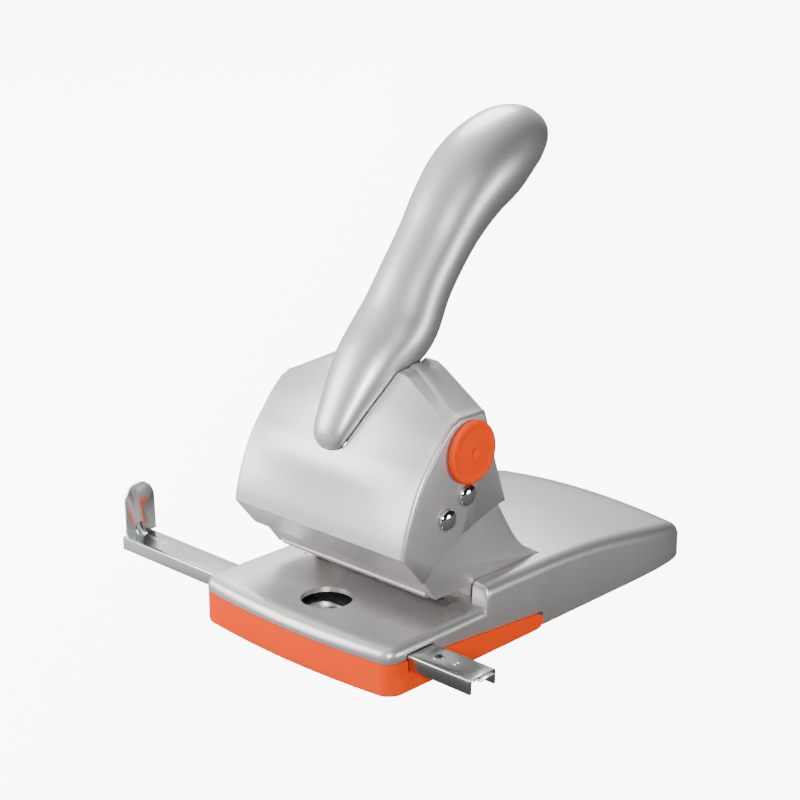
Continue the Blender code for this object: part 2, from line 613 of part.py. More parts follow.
def punch_yoke():
    """Crossbar that carries both punches, with an ear and slot at each end for the drive pin."""
    yoke = box("punch_yoke", (-0.0485, 0.0425, YOKE_LOW), (0.0485, 0.0600, YOKE_LOW + 0.0080), STEEL)
    for side in (-1, 1):
        x0, x1 = sorted((side * 0.0445, side * 0.0484))
        outline = [(0.0427, YOKE_LOW + 0.002), (0.0592, YOKE_LOW + 0.002), (0.0592, 0.0890),
                   (0.0560, 0.0925), (0.0450, 0.0925), (0.0427, 0.0890)]
        join(yoke, outline_solid("yoke_ear_join_%d" % (side + 2), outline, x0, x1))
    y, z = DRIVE
    high = DRIVE_RADIUS + 0.00050
    slot = arc((y - 0.0006, z), high, 90, 270, 8) + arc((y + 0.0031, z), high, -90, 90, 8)
    boolean(yoke, outline_solid("yoke_slot_cut", slot, -0.06, 0.06))
    for side in (-1, 1):
        name = "yoke_punch_cut_%d" % (side + 2)
        centre = (side * HOLE_SPACING / 2, PUNCH_Y, 0.062)
        boolean(yoke, rod(name, centre, PUNCH_RADIUS + GAP, 0.03, "Z"))
    return yoke


def punches():
    """Two hardened punches with hollow-ground tips, each held by a collar in the yoke."""
    top = YOKE_LOW + 0.0080
    for side, word in ((-1, "left"), (1, "right")):
        x = side * HOLE_SPACING / 2
        centre = (x, PUNCH_Y, (PUNCH_TIP_Z + top) / 2)
        punch = rod("punch_" + word, centre, PUNCH_RADIUS, top - PUNCH_TIP_Z, "Z", STEEL, segments=28)
        grind = outline_solid("punch_grind_cut_" + word, [(PUNCH_Y - 0.006, PUNCH_TIP_Z - 0.001),
                              (PUNCH_Y + 0.006, PUNCH_TIP_Z - 0.001), (PUNCH_Y, PUNCH_TIP_Z + 0.0010)],
                              x - 0.006, x + 0.006)
        boolean(punch, grind)
        rod("punch_head_" + word, (x, PUNCH_Y, top + 0.0015), 0.0042, 0.0024, "Z", STEEL, segments=24)


def springs():
    """Return springs around the punches, between the guide towers and the yoke."""
    low, high = 0.0449, YOKE_LOW - 0.0008
    turns, per_turn = 5, 10
    for side, word in ((-1, "left"), (1, "right")):
        curve = bpy.data.curves.new("spring_path_" + word, "CURVE")
        curve.dimensions = "3D"
        curve.bevel_depth = 0.00040
        curve.bevel_resolution = 2
        curve.use_fill_caps = True
        spline = curve.splines.new("POLY")
        total = turns * per_turn
        spline.points.add(total)
        for i in range(total + 1):
            angle = 2 * math.pi * i / per_turn
            x = side * HOLE_SPACING / 2 + 0.0042 * math.cos(angle)
            y = PUNCH_Y + 0.0042 * math.sin(angle)
            spline.points[i].co = (x, y, low + (high - low) * i / total, 1.0)
        spring = bpy.data.objects.new("return_spring_" + word, curve)
        curve.materials.append(STEEL)
        PARTS.objects.link(spring)


# ---- guide bar -----------------------------------------------------------------------------
def guide_bar():
    """Chromed channel that slides through the base, bent up at its left end as the paper stop."""
    low = BAR_TOP - BAR_DEPTH
    sheet = BAR_SHEET
    bar = box("guide_bar", (BAR_LEFT, 0, low), (BAR_RIGHT, BAR_WIDTH, BAR_TOP), CHROME)
    inside = box("bar_inside_cut", (BAR_LEFT - 0.01, sheet, low - 0.01),
                 (BAR_RIGHT + 0.01, BAR_WIDTH - sheet, BAR_TOP - sheet))
    boolean(bar, inside)
    tab_top = BAR_TOP + TAB_HEIGHT
    radius = 0.0100
    middle = BAR_WIDTH / 2 + 0.0032
    tab = [(0.0028, BAR_TOP - 0.0010), (BAR_WIDTH + 0.0046, BAR_TOP - 0.0010)]
    tab += [(BAR_WIDTH + 0.0042, tab_top - radius)] + arc((middle, tab_top - radius), radius, 12, 168, 10)
    tab += [(0.0026, tab_top - radius)]
    stop = outline_solid("stop_tab_join", tab, BAR_LEFT - 0.0003, BAR_LEFT + sheet)
    lip = box("bar_lip_join", (BAR_RIGHT - 0.001, 0.0040, BAR_TOP - sheet + 0.0001),
              (BAR_RIGHT + 0.0030, BAR_WIDTH - 0.0040, BAR_TOP - 0.0001))
    join(bar, stop, lip)
    hole = rod("bar_hole_cut", (0.0790, 0.0090, BAR_TOP), 0.0019, 0.01, "Z", segments=20)
    return cut(bar, hole)


# ---- chip tray -----------------------------------------------------------------------------
def tray_top(y):
    """Upper edge of the tray, just below the seam."""
    return seam_z(y) - GAP


def tray_blank(name, inset, floor, extra, mat=None):
    """The tray's form: bowed front, round corners, upper edge falling to the hinge."""
    end = TRAY_HINGE[0] + 0.0042
    rows = [(FRONT_Y, 0.0600), (FRONT_Y + 0.0006, 0.0630), (FRONT_Y + 0.0022, 0.0658),
            (FRONT_Y + 0.0050, 0.0675), (FRONT_Y + 0.0095, TRAY_HALF), (0.0040, TRAY_HALF),
            (0.0500, TRAY_HALF), (end, TRAY_HALF)]
    rings = []
    for y, half in rows:
        moved = y + inset
        high = tray_top(min(moved, TRAY_HINGE[0])) + extra
        width = half - inset
        across = [-width, -width + 0.0008, -0.5 * width, 0.0, 0.5 * width, width - 0.0008, width]
        ring = [(x, floor + (0.0008 if abs(x) == width else 0.0)) for x in across]
        ring += [(x, high) for x in reversed(across)]
        rings.append([(x, moved + bow(x, y, half), z) for x, z in ring])
    return loft(name, rings, mat, zipped=True)


def chip_tray():
    """The tray under the die, which swings down at its back to be emptied."""
    y, z = TRAY_HINGE
    tray = tray_blank("chip_tray", 0.0, TRAY_FLOOR, 0.0, ORANGE)
    inside = tray_blank("tray_inside_cut", TRAY_WALL, TRAY_FLOOR + 0.0016, 0.02)
    end = arc((y, z), 0.0040, 90, -65, 10)
    end += [(y - 0.0045, 0.0008), (y - 0.0045, -0.01), (0.12, -0.01), (0.12, 0.03), (y, 0.03)]
    bar_low = BAR_TOP - BAR_DEPTH
    notch = box("tray_notch_cut", (-0.08, -0.0006, bar_low - 0.0008), (0.08, BAR_WIDTH + 0.0006, 0.03))
    pin_hole = rod("tray_pin_cut", (0, y, z), 0.0015 + GAP, 0.1344, segments=20)
    cut(tray, inside, outline_solid("tray_end_cut", end, -0.08, 0.08), notch, pin_hole)
    join(tray, box("tray_back_join", (-0.0670, 0.0590, 0.0018), (0.0670, 0.0608, 0.0120)))
    return cut(tray, box("tray_gap_cut", (-0.0645, 0.0925, -0.0100), (0.0645, 0.1200, 0.0300)))


def tray_hinge():
    """Brackets under the bottom plate, and the tray's two pins in them."""
    y, z = TRAY_HINGE
    for side, word in ((-1, "left"), (1, "right")):
        x0, x1 = sorted((side * 0.0576, side * 0.0632))
        outline = arc((y, z), 0.0030, 90, 270, 8) + [(y + 0.0130, z - 0.0030), (y + 0.0130, 0.0047),
                                                     (y + 0.0050, 0.0047), (y + 0.0050, z + 0.0030)]
        bracket = outline_solid("tray_bracket_" + word, outline, x0, x1, BLACK)
        name = "bracket_hole_cut_" + word
        boolean(bracket, rod(name, (side * 0.060, y, z), 0.0015 + GAP, 0.02, segments=20))
        rod("tray_pin_" + word, (side * 0.0622, y, z), 0.0015, 0.0092, "X", STEEL, segments=20)


def tray_pads():
    """Rubber strips under the tray."""
    box("front_pad", (-0.0500, -0.0060, 0.0), (0.0500, 0.0060, TRAY_FLOOR - GAP), RUBBER)
    box("rear_pad", (-0.0500, 0.0700, 0.0), (0.0500, 0.0800, TRAY_FLOOR - GAP), RUBBER)


def build():
    """Makes every piece of the punch."""
    base_shell()
    die_plate()
    bottom_plate()
    feet()
    plate_screws()
    frame_casting()
    guide_bushes()
    axle()
    bar_guides()
    lever_head()
    handle()
    handle_screws()
    drive_pin()
    lock_knob()
    punch_yoke()
    punches()
    springs()
    guide_bar()
    chip_tray()
    tray_hinge()
    tray_pads()


build()
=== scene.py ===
"""Desktop two-hole paper punch: looks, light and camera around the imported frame."""
import json
import math

import bmesh
import bpy
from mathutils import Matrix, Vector


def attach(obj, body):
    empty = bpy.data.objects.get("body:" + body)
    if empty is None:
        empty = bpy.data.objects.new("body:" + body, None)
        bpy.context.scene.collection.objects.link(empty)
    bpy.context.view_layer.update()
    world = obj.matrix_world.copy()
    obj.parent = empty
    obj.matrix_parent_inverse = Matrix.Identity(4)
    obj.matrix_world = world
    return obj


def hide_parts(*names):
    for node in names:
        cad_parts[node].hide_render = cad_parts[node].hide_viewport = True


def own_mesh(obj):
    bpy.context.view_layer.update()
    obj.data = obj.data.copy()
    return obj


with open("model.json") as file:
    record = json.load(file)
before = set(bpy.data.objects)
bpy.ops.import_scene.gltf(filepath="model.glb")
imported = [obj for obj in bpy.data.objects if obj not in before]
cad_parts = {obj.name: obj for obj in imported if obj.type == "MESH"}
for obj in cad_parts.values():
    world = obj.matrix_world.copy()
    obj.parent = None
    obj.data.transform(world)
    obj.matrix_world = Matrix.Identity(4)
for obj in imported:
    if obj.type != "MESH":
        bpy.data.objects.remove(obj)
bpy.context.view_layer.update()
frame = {"nodes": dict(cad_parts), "record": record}

# ---- sizes shared with the frame, in metres --------------------------------------------------
GAP = 0.0003
WALL = 0.0026
HOLE_X = 0.040                 # each punch stands this far from the middle
PUNCH_Y = 0.051
DIE_FRONT_Y = 0.0440
DIE_BACK_Y = 0.0585
RAIL_INNER_Y = 0.064
BASE_HALF = 0.067
DECK_Z = 0.0258
SEAM_Z = 0.0183
SEAM_SLOPE = 0.083
STEP_Y = 0.058
FRONT_Y = -0.0165
REAR_Y = 0.2325
REAR_EDGE_Z = 0.0025
FRONT_BOW = 0.0040
BAR_WIDTH = 0.0185
BAR_TOP = 0.0205
BAR_DEPTH = 0.0076
BAR_LOW = BAR_TOP - BAR_DEPTH
BAR_SHEET = 0.0012
BAR_LEFT = -0.1486
BAR_RIGHT = 0.1068
TAB_HEIGHT = 0.0287
CHEEK_IN = 0.0500
CHEEK_OUT = 0.0564
THROAT_TOP = 0.0354
BACK_STOP_Y = 0.0630
FOOT_Z = 0.0077
FRAME_BACK_Y = 0.1088
PIVOT = (0.0350, 0.0776)
DRIVE_ARM = 0.01684
DRIVE = (0.04930, 0.08650)
HEAD_HALF = 0.060
KNOB = (0.0510, 0.1085)
KNOB_RADIUS = 0.0160
TRAY_HALF = 0.068
TRAY_HINGE = (0.0965, 0.0060)
TRAY_FLOOR = 0.0012
TRAY_WALL = 0.0020
TRAY_PIN_HOLE = (0.0018, 0.1344)   # radius, and length across the tray
AXLE_HOLE_RADIUS = 0.0043
WINDOW_Y = 0.012
WINDOW_RADIUS = 0.0133
# painted shade: where the black sheet under the round window reaches
SHADE_SHEET_X = (-0.0400, 0.0240)
SHADE_SHEET_BACK_Y = 0.0425
CUT_ACROSS = 0.08           # half length of a tool that cuts from side to side


# ---- shaping ---------------------------------------------------------------------------------
def only(obj):
    """Selects one object and makes it the active one."""
    bpy.ops.object.select_all(action="DESELECT")
    obj.select_set(True)
    bpy.context.view_layer.objects.active = obj


def curve_through(points, steps):
    """Smooth in-between points through a list of rows of numbers, ends kept."""
    out = []
    last = len(points) - 1
    for i in range(last):
        before, here = points[max(i - 1, 0)], points[i]
        there, after = points[i + 1], points[min(i + 2, last)]
        for k in range(steps):
            t = k / steps
            out.append(tuple(
                0.5 * (2 * b + (c - a) * t + (2 * a - 5 * b + 4 * c - d) * t * t
                       + (3 * b - a - 3 * c + d) * t ** 3)
                for a, b, c, d in zip(before, here, there, after)))
    return out + [tuple(points[-1])]


def arc(centre, radius, start, end, steps=12):
    """Points on an arc, with its angles in degrees."""
    points = []
    for i in range(steps + 1):
        angle = math.radians(start + (end - start) * i / steps)
        points.append((centre[0] + radius * math.cos(angle), centre[1] + radius * math.sin(angle)))
    return points


def skin(name, rings, drawn=False):
    """A cylinder extruded ring by ring, each ring then laid in its place.

    The end rings stay flat faces or, drawn, are closed by merging the points that meet there.
    """
    count = len(rings[0])
    bpy.ops.object.select_all(action="DESELECT")
    bpy.ops.mesh.primitive_cylinder_add(vertices=count, radius=1.0, depth=1.0, location=(0, 0, 0.5))
    obj = bpy.context.object
    obj.name = name
    bpy.ops.object.transform_apply(location=True, rotation=True, scale=True)
    bpy.ops.object.mode_set(mode="EDIT")
    bpy.ops.mesh.select_mode(type="FACE")
    bpy.ops.mesh.select_all(action="DESELECT")
    bm = bmesh.from_edit_mesh(obj.data)
    for face in bm.faces:
        face.select_set(face.calc_center_median().z > 0.99)
    bmesh.update_edit_mesh(obj.data)
    for _ in range(len(rings) - 2):
        bpy.ops.mesh.extrude_region_move(TRANSFORM_OT_translate={"value": (0, 0, 1.0)})
    if drawn:
        bm = bmesh.from_edit_mesh(obj.data)
        for face in bm.faces:
            face.select_set(len(face.verts) == count and (count != 4 or abs(face.normal.z) > 0.9))
        bmesh.update_edit_mesh(obj.data)
        bpy.ops.mesh.delete(type="ONLY_FACE")
    bpy.ops.object.mode_set(mode="OBJECT")
    for vert in obj.data.vertices:
        step = round(math.atan2(vert.co.x, vert.co.y) / (2 * math.pi) * count) % count
        vert.co = rings[round(vert.co.z)][step]
    bpy.ops.object.mode_set(mode="EDIT")
    bpy.ops.mesh.select_all(action="SELECT")
    bpy.ops.mesh.remove_doubles(threshold=0.000002)
    bpy.ops.mesh.normals_make_consistent(inside=False)
    bpy.ops.object.mode_set(mode="OBJECT")
    return obj


def plate(name, outline, low, high):
    """A flat YZ outline given its thickness along X."""
    return skin(name, [[(x, y, z) for y, z in outline] for x in (low, high)])


def block(name, low, high):
    """A box between two corners."""
    bpy.ops.object.select_all(action="DESELECT")
    middle = [(a + b) / 2 for a, b in zip(low, high)]
    bpy.ops.mesh.primitive_cube_add(size=1.0, location=middle)
    obj = bpy.context.object
    obj.name = name
    obj.scale = [b - a for a, b in zip(low, high)]
    bpy.ops.object.transform_apply(location=True, rotation=True, scale=True)
    return obj


def peg(name, centre, radius, length, axis="Z", vertices=48):
    """A round bar along X or Z."""
    bpy.ops.object.select_all(action="DESELECT")
    turn = (0, math.radians(90), 0) if axis == "X" else (0, 0, 0)
    bpy.ops.mesh.primitive_cylinder_add(vertices=vertices, radius=radius, depth=length,
                                        location=centre, rotation=turn)
    obj = bpy.context.object
    obj.name = name
    bpy.ops.object.transform_apply(location=True, rotation=True, scale=True)
    return obj


def carve(obj, tool, operation="DIFFERENCE"):
    """Cuts or joins with another solid, which is used up."""
    only(obj)
    modifier = obj.modifiers.new(tool.name, "BOOLEAN")
    modifier.operation = operation
    modifier.object = tool
    modifier.solver = "EXACT"
    bpy.ops.object.modifier_apply(modifier=modifier.name)
    bpy.data.objects.remove(tool, do_unlink=True)
    return obj


def soften(obj, width, segments=2, angle=32):
    """Rounds the sharp edges."""
    only(obj)
    modifier = obj.modifiers.new("soft_edges", "BEVEL")
    modifier.width = width
    modifier.segments = segments
    modifier.limit_method = "ANGLE"
    modifier.angle_limit = math.radians(angle)
    modifier.use_clamp_overlap = True
    bpy.ops.object.modifier_apply(modifier=modifier.name)
    return obj


def finish_piece(obj, body, nodes, mat, angle=32):
    """Smooth shading, material, body and the nodes that the piece stands for."""
    only(obj)
    bpy.ops.object.shade_smooth_by_angle(angle=math.radians(angle))
    obj.data.materials.clear()
    obj.data.materials.append(mat)
    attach(obj, body)
    if nodes:
        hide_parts(*nodes)
    return obj


# ---- materials -------------------------------------------------------------------------------
def new_group(name, inputs, outputs):
    """A shader node group with its sockets, its input and its output node."""
    group = bpy.data.node_groups.new(name, "ShaderNodeTree")
    for socket, kind, value in inputs:
        made = group.interface.new_socket(name=socket, in_out="INPUT", socket_type=kind)
        made.default_value = value
    for socket, kind in outputs:
        group.interface.new_socket(name=socket, in_out="OUTPUT", socket_type=kind)
    return group, group.nodes.new("NodeGroupInput"), group.nodes.new("NodeGroupOutput")


def noise(tree, vector, scale, detail=3.0):
    """A noise texture on a vector socket."""
    node = tree.nodes.new("ShaderNodeTexNoise")
    node.inputs["Detail"].default_value = detail
    tree.links.new(vector, node.inputs["Vector"])
    if isinstance(scale, (int, float)):
        node.inputs["Scale"].default_value = scale
    else:
        tree.links.new(scale, node.inputs["Scale"])
    return node.outputs["Fac"]


def math_node(tree, operation, a, b):
    """One Math node between sockets or numbers."""
    node = tree.nodes.new("ShaderNodeMath")
    node.operation = operation
    for socket, value in zip(node.inputs, (a, b)):
        if isinstance(value, (int, float)):
            socket.default_value = value
        else:
            tree.links.new(value, socket)
    return node.outputs[0]


def remap(tree, value, low, high, to_low, to_high):
    """A clamped change of range."""
    node = tree.nodes.new("ShaderNodeMapRange")
    tree.links.new(value, node.inputs["Value"])
    for socket, number in (("From Min", low), ("From Max", high), ("To Min", to_low), ("To Max", to_high)):
        if isinstance(number, (int, float)):
            node.inputs[socket].default_value = number
        else:
            tree.links.new(number, node.inputs[socket])
    return node.outputs["Result"]


def blend_colors(tree, factor, a, b, mode="MIX"):
    """A colour Mix node."""
    node = tree.nodes.new("ShaderNodeMix")
    node.data_type = "RGBA"
    node.blend_type = mode
    for socket, value in ((node.inputs[0], factor), (node.inputs[6], a), (node.inputs[7], b)):
        if isinstance(value, (int, float)):
            socket.default_value = value
        elif isinstance(value, tuple):
            socket.default_value = value
        else:
            tree.links.new(value, socket)
    return node.outputs[2]


def centred(tree, value, amount):
    """A texture value turned into a swing about zero."""
    return math_node(tree, "MULTIPLY", math_node(tree, "SUBTRACT", value, 0.5), amount)


def flake_group():
    """Fine sparkle and faint clouding of a sprayed metallic paint."""
    group, given, result = new_group(
        "metallic_flake",
        [("Color", "NodeSocketColor", (0.6, 0.6, 0.6, 1)), ("Flake Scale", "NodeSocketFloat", 2600.0),
         ("Flake Amount", "NodeSocketFloat", 0.16), ("Roughness", "NodeSocketFloat", 0.36)],
        [("Color", "NodeSocketColor"), ("Roughness", "NodeSocketFloat"), ("Height", "NodeSocketFloat")])
    place = group.nodes.new("ShaderNodeTexCoord").outputs["Object"]
    flake = noise(group, place, given.outputs["Flake Scale"], 1.0)
    cloud = noise(group, place, 38.0, 3.0)
    peel = noise(group, place, 620.0, 2.0)
    swing = centred(group, flake, given.outputs["Flake Amount"])
    drift = centred(group, cloud, 0.05)
    bright = math_node(group, "ADD", math_node(group, "ADD", swing, drift), 1.0)
    shade = blend_colors(group, 1.0, given.outputs["Color"], bright, "MULTIPLY")
    group.links.new(shade, result.inputs["Color"])
    rough = math_node(group, "ADD", given.outputs["Roughness"], centred(group, cloud, 0.07))
    rough = math_node(group, "ADD", rough, centred(group, flake, 0.10))
    group.links.new(rough, result.inputs["Roughness"])
    height = math_node(group, "ADD", math_node(group, "MULTIPLY", flake, 0.35),
                       math_node(group, "MULTIPLY", peel, 0.65))
    group.links.new(height, result.inputs["Height"])
    return group


def grain_group():
    """Fine moulded grain with slight unevenness of tone and gloss."""
    group, given, result = new_group(
        "moulded_grain",
        [("Color", "NodeSocketColor", (0.9, 0.2, 0.05, 1)), ("Grain Scale", "NodeSocketFloat", 900.0),
         ("Roughness", "NodeSocketFloat", 0.4), ("Variation", "NodeSocketFloat", 0.10)],
        [("Color", "NodeSocketColor"), ("Roughness", "NodeSocketFloat"), ("Height", "NodeSocketFloat")])
    place = group.nodes.new("ShaderNodeTexCoord").outputs["Object"]
    grain = noise(group, place, given.outputs["Grain Scale"], 2.0)
    cloud = noise(group, place, 26.0, 3.0)
    tone = math_node(group, "ADD", centred(group, cloud, given.outputs["Variation"]), 1.0)
    shade = blend_colors(group, 1.0, given.outputs["Color"], tone, "MULTIPLY")
    group.links.new(shade, result.inputs["Color"])
    rough = math_node(group, "ADD", given.outputs["Roughness"], centred(group, grain, 0.16))
    group.links.new(rough, result.inputs["Roughness"])
    group.links.new(grain, result.inputs["Height"])
    return group


def brushed_group():
    """Lines left by rolling or turning, drawn out along one direction, with dull smudges."""
    group, given, result = new_group(
        "brushed_metal",
        [("Color", "NodeSocketColor", (0.8, 0.8, 0.8, 1)),
         ("Stretch", "NodeSocketVector", (6.0, 900.0, 900.0)),
         ("Roughness", "NodeSocketFloat", 0.12), ("Line Amount", "NodeSocketFloat", 0.08)],
        [("Color", "NodeSocketColor"), ("Roughness", "NodeSocketFloat"), ("Height", "NodeSocketFloat")])
    place = group.nodes.new("ShaderNodeTexCoord").outputs["Object"]
    drawn = group.nodes.new("ShaderNodeVectorMath")
    drawn.operation = "MULTIPLY"
    group.links.new(place, drawn.inputs[0])
    group.links.new(given.outputs["Stretch"], drawn.inputs[1])
    lines = noise(group, drawn.outputs[0], 1.0, 4.0)
    smudge = noise(group, place, 60.0, 4.0)
    tone = math_node(group, "ADD", centred(group, lines, 0.12), 1.0)
    shade = blend_colors(group, 1.0, given.outputs["Color"], tone, "MULTIPLY")
    group.links.new(shade, result.inputs["Color"])
    rough = math_node(group, "ADD", given.outputs["Roughness"],
                      centred(group, lines, given.outputs["Line Amount"]))
    rough = math_node(group, "ADD", rough, remap(group, smudge, 0.50, 0.75, 0.0, 0.07))
    group.links.new(rough, result.inputs["Roughness"])
    group.links.new(lines, result.inputs["Height"])
    return group


FLAKE = flake_group()
GRAIN = grain_group()
BRUSHED = brushed_group()


def surface(name, group, values, bump, metallic=0.0, coat=0.0, coat_roughness=0.1, specular=0.5):
    """A Principled material fed by one of the groups."""
    mat = bpy.data.materials.new(name)
    mat.use_nodes = True
    tree = mat.node_tree
    shader = tree.nodes["Principled BSDF"]
    effect = tree.nodes.new("ShaderNodeGroup")
    effect.node_tree = group
    for socket, value in values.items():
        effect.inputs[socket].default_value = value
    tree.links.new(effect.outputs["Color"], shader.inputs["Base Color"])
    tree.links.new(effect.outputs["Roughness"], shader.inputs["Roughness"])
    relief = tree.nodes.new("ShaderNodeBump")
    relief.inputs["Strength"].default_value = bump[0]
    relief.inputs["Distance"].default_value = bump[1]
    tree.links.new(effect.outputs["Height"], relief.inputs["Height"])
    tree.links.new(relief.outputs["Normal"], shader.inputs["Normal"])
    shader.inputs["Metallic"].default_value = metallic
    shader.inputs["Coat Weight"].default_value = coat
    shader.inputs["Coat Roughness"].default_value = coat_roughness
    shader.inputs["Specular IOR Level"].default_value = specular
    return mat


SILVER = surface("silver_lacquer", FLAKE, {"Color": (0.50, 0.488, 0.480, 1), "Roughness": 0.40},
                 (0.12, 0.0002), metallic=0.82, coat=0.45, coat_roughness=0.08)
CAST = surface("frame_lacquer", FLAKE, {"Color": (0.46, 0.445, 0.435, 1), "Roughness": 0.46},
               (0.22, 0.0003), metallic=0.78, coat=0.10, coat_roughness=0.28)
ORANGE = surface("orange_moulding", GRAIN, {"Color": (0.86, 0.055, 0.0, 1), "Roughness": 0.56},
                 (0.06, 0.0002), specular=0.06)
CHROME = surface("chromed_sheet", BRUSHED, {"Color": (0.60, 0.64, 0.63, 1), "Roughness": 0.16},
                 (0.03, 0.0001), metallic=1.0)
POLISH = surface("polished_chrome", BRUSHED, {"Color": (0.86, 0.86, 0.85, 1), "Roughness": 0.05,
                                              "Line Amount": 0.03}, (0.01, 0.0001), metallic=1.0)
STEEL = surface("ground_steel", BRUSHED, {"Color": (0.46, 0.455, 0.45, 1), "Roughness": 0.30,
                                          "Stretch": (700.0, 700.0, 20.0)}, (0.05, 0.0001), metallic=1.0)
BLACK = surface("black_moulding", GRAIN, {"Color": (0.022, 0.022, 0.023, 1), "Roughness": 0.48},
                (0.10, 0.0002))
RUBBER = surface("rubber", GRAIN, {"Color": (0.03, 0.03, 0.03, 1), "Roughness": 0.80, "Grain Scale": 500.0},
                 (0.20, 0.0003), specular=0.3)
NYLON = surface("nylon", GRAIN, {"Color": (0.72, 0.71, 0.67, 1), "Roughness": 0.48}, (0.05, 0.0002))
BRASS = surface("turned_brass", BRUSHED, {"Color": (0.72, 0.50, 0.22, 1), "Roughness": 0.26,
                                          "Stretch": (30.0, 30.0, 900.0)}, (0.04, 0.0001), metallic=1.0)

SLOT_MATERIALS = {"silver_paint": SILVER, "orange_plastic": ORANGE, "bright_chrome": CHROME,
                  "plain_steel": STEEL, "black_plastic": BLACK, "dark_rubber": RUBBER,
                  "pale_nylon": NYLON, "bush_brass": BRASS}


# ---- handle ----------------------------------------------------------------------------------
HANDLE_AXIS = [  # y, z, half width and half depth of the oval sections
    (0.0128, 0.1046, 0.0020, 0.0010), (0.0142, 0.1068, 0.0080, 0.0043), (0.0168, 0.1132, 0.0108, 0.0072),
    (0.0245, 0.1225, 0.0136, 0.0102), (0.0336, 0.1328, 0.0166, 0.0132), (0.0438, 0.1432, 0.0192, 0.0158),
    (0.0560, 0.1520, 0.0214, 0.0184), (0.0650, 0.1605, 0.0213, 0.0194), (0.0757, 0.1772, 0.0196, 0.0186),
    (0.0895, 0.1953, 0.0198, 0.0186), (0.1009, 0.2093, 0.0212, 0.0202), (0.1136, 0.2215, 0.0228, 0.0220),
    (0.1276, 0.2302, 0.0233, 0.0226), (0.1412, 0.2372, 0.0215, 0.0206), (0.1525, 0.2402, 0.0184, 0.0176),
    (0.1612, 0.2408, 0.0138, 0.0132), (0.1668, 0.2404, 0.0088, 0.0084), (0.1692, 0.2400, 0.0034, 0.0032)]


def handle_rings(grow=0.0, count=56):
    """Oval rings square to the handle's axis, drawn to a point at both ends."""
    axis = curve_through(HANDLE_AXIS, 4)
    rings = []
    last = len(axis) - 1
    for i, (y, z, half, depth) in enumerate(axis):
        before, after = axis[max(i - 1, 0)], axis[min(i + 1, last)]
        along = Vector((0, after[0] - before[0], after[1] - before[1])).normalized()
        across = along.cross(Vector((1, 0, 0)))
        ring = []
        for k in range(count):
            angle = 2 * math.pi * k / count
            ring.append(Vector((0, y, z)) + Vector((1, 0, 0)) * (half + grow) * math.cos(angle)
                        + across * (depth + grow) * math.sin(angle))
        rings.append(ring)
    for at, near in ((0, rings[0]), (len(rings) + 1, rings[-1])):
        middle = sum(near, Vector()) / count
        rings.insert(at, [middle.copy() for _ in near])
    return rings


def lever_handle():
    """The cast grip, whose tongue runs down the head's front."""
    grip = skin("lever_handle", handle_rings(), drawn=True)
    carve(grip, block("seat", (-0.04, 0.0340, 0.0900), (0.04, 0.0700, 0.1180 + GAP)))
    return finish_piece(grip, "lever", ["handle_grip"], SILVER, 40)


# ---- head ------------------------------------------------------------------------------------
HEAD_FRONT = [(0.0043, 0.0652), (0.0054, 0.0712), (0.0072, 0.0776), (0.0094, 0.0838), (0.0131, 0.0925),
              (0.0168, 0.0995), (0.0205, 0.1050), (0.0240, 0.1092), (0.0276, 0.1137), (0.0312, 0.1180),
              (0.0350, 0.1216), (0.0384, 0.1246)]
HEAD_LOWER = [(0.0780, 0.0752), (0.0741, 0.0748), (0.0666, 0.0730), (0.0592, 0.0706), (0.0518, 0.0680),
              (0.0446, 0.0654), (0.0374, 0.0622), (0.0302, 0.0576), (0.0232, 0.0520), (0.0190, 0.0486),
              (0.0172, 0.0496)]
HEAD_BACK = [(0.0648, 0.1210), (0.0672, 0.1118), (0.0704, 0.1016), (0.0736, 0.0919), (0.0761, 0.0843),
             (0.0787, 0.0775)]
SHOULDER_X = 0.025
EDGE_X = 0.0575
TOP_SIDE = 0.127
TOP_MIDDLE = 0.1435
FRONT_BULGE = 0.008


def head_section(x, inset):
    """Front and top of the head's side view at one x."""
    rise = min(1.0, max(0.0, (EDGE_X - abs(x)) / (EDGE_X - SHOULDER_X)))
    across = 1 - min(1.0, abs(x) / EDGE_X) ** 2
    ring = []
    for y, z in curve_through(HEAD_FRONT, 3):
        bulge = FRONT_BULGE * across * math.exp(-((z - 0.110) / 0.022) ** 2)
        lift = rise * (max(0.0, z - 0.105) / 0.0196) ** 2
        ring.append((y - bulge + inset * 0.80 + 0.0092 * lift, z - inset * 0.60 + 0.0165 * lift))
    top = TOP_SIDE + (TOP_MIDDLE - TOP_SIDE) * rise - inset
    front_y = 0.0428 + 0.0092 * rise + inset * 0.5
    back_y = 0.0632 + 0.0043 * rise - inset * 0.5
    ring += [(front_y - 0.0010, top - 0.0012), (front_y - 0.0002, top - 0.0005), (front_y + 0.0012, top)]
    ring += [(back_y - 0.0014, top), (back_y - 0.0004, top - 0.0004), (back_y, top - 0.0014)]
    return ring


def head_stations():
    """Places across the head and how far the form is drawn in there, with rounded side edges."""
    side = []
    for degrees in (0, 15, 30, 45, 60, 75, 90):
        angle = math.radians(degrees)
        side.append((EDGE_X + (HEAD_HALF - EDGE_X) * math.sin(angle), 0.0022 * (1 - math.cos(angle))))
    inner = [(0.0060 * i, 0.0) for i in range(10)]
    right = inner + side
    return [(-x, inset) for x, inset in reversed(right[1:])] + right


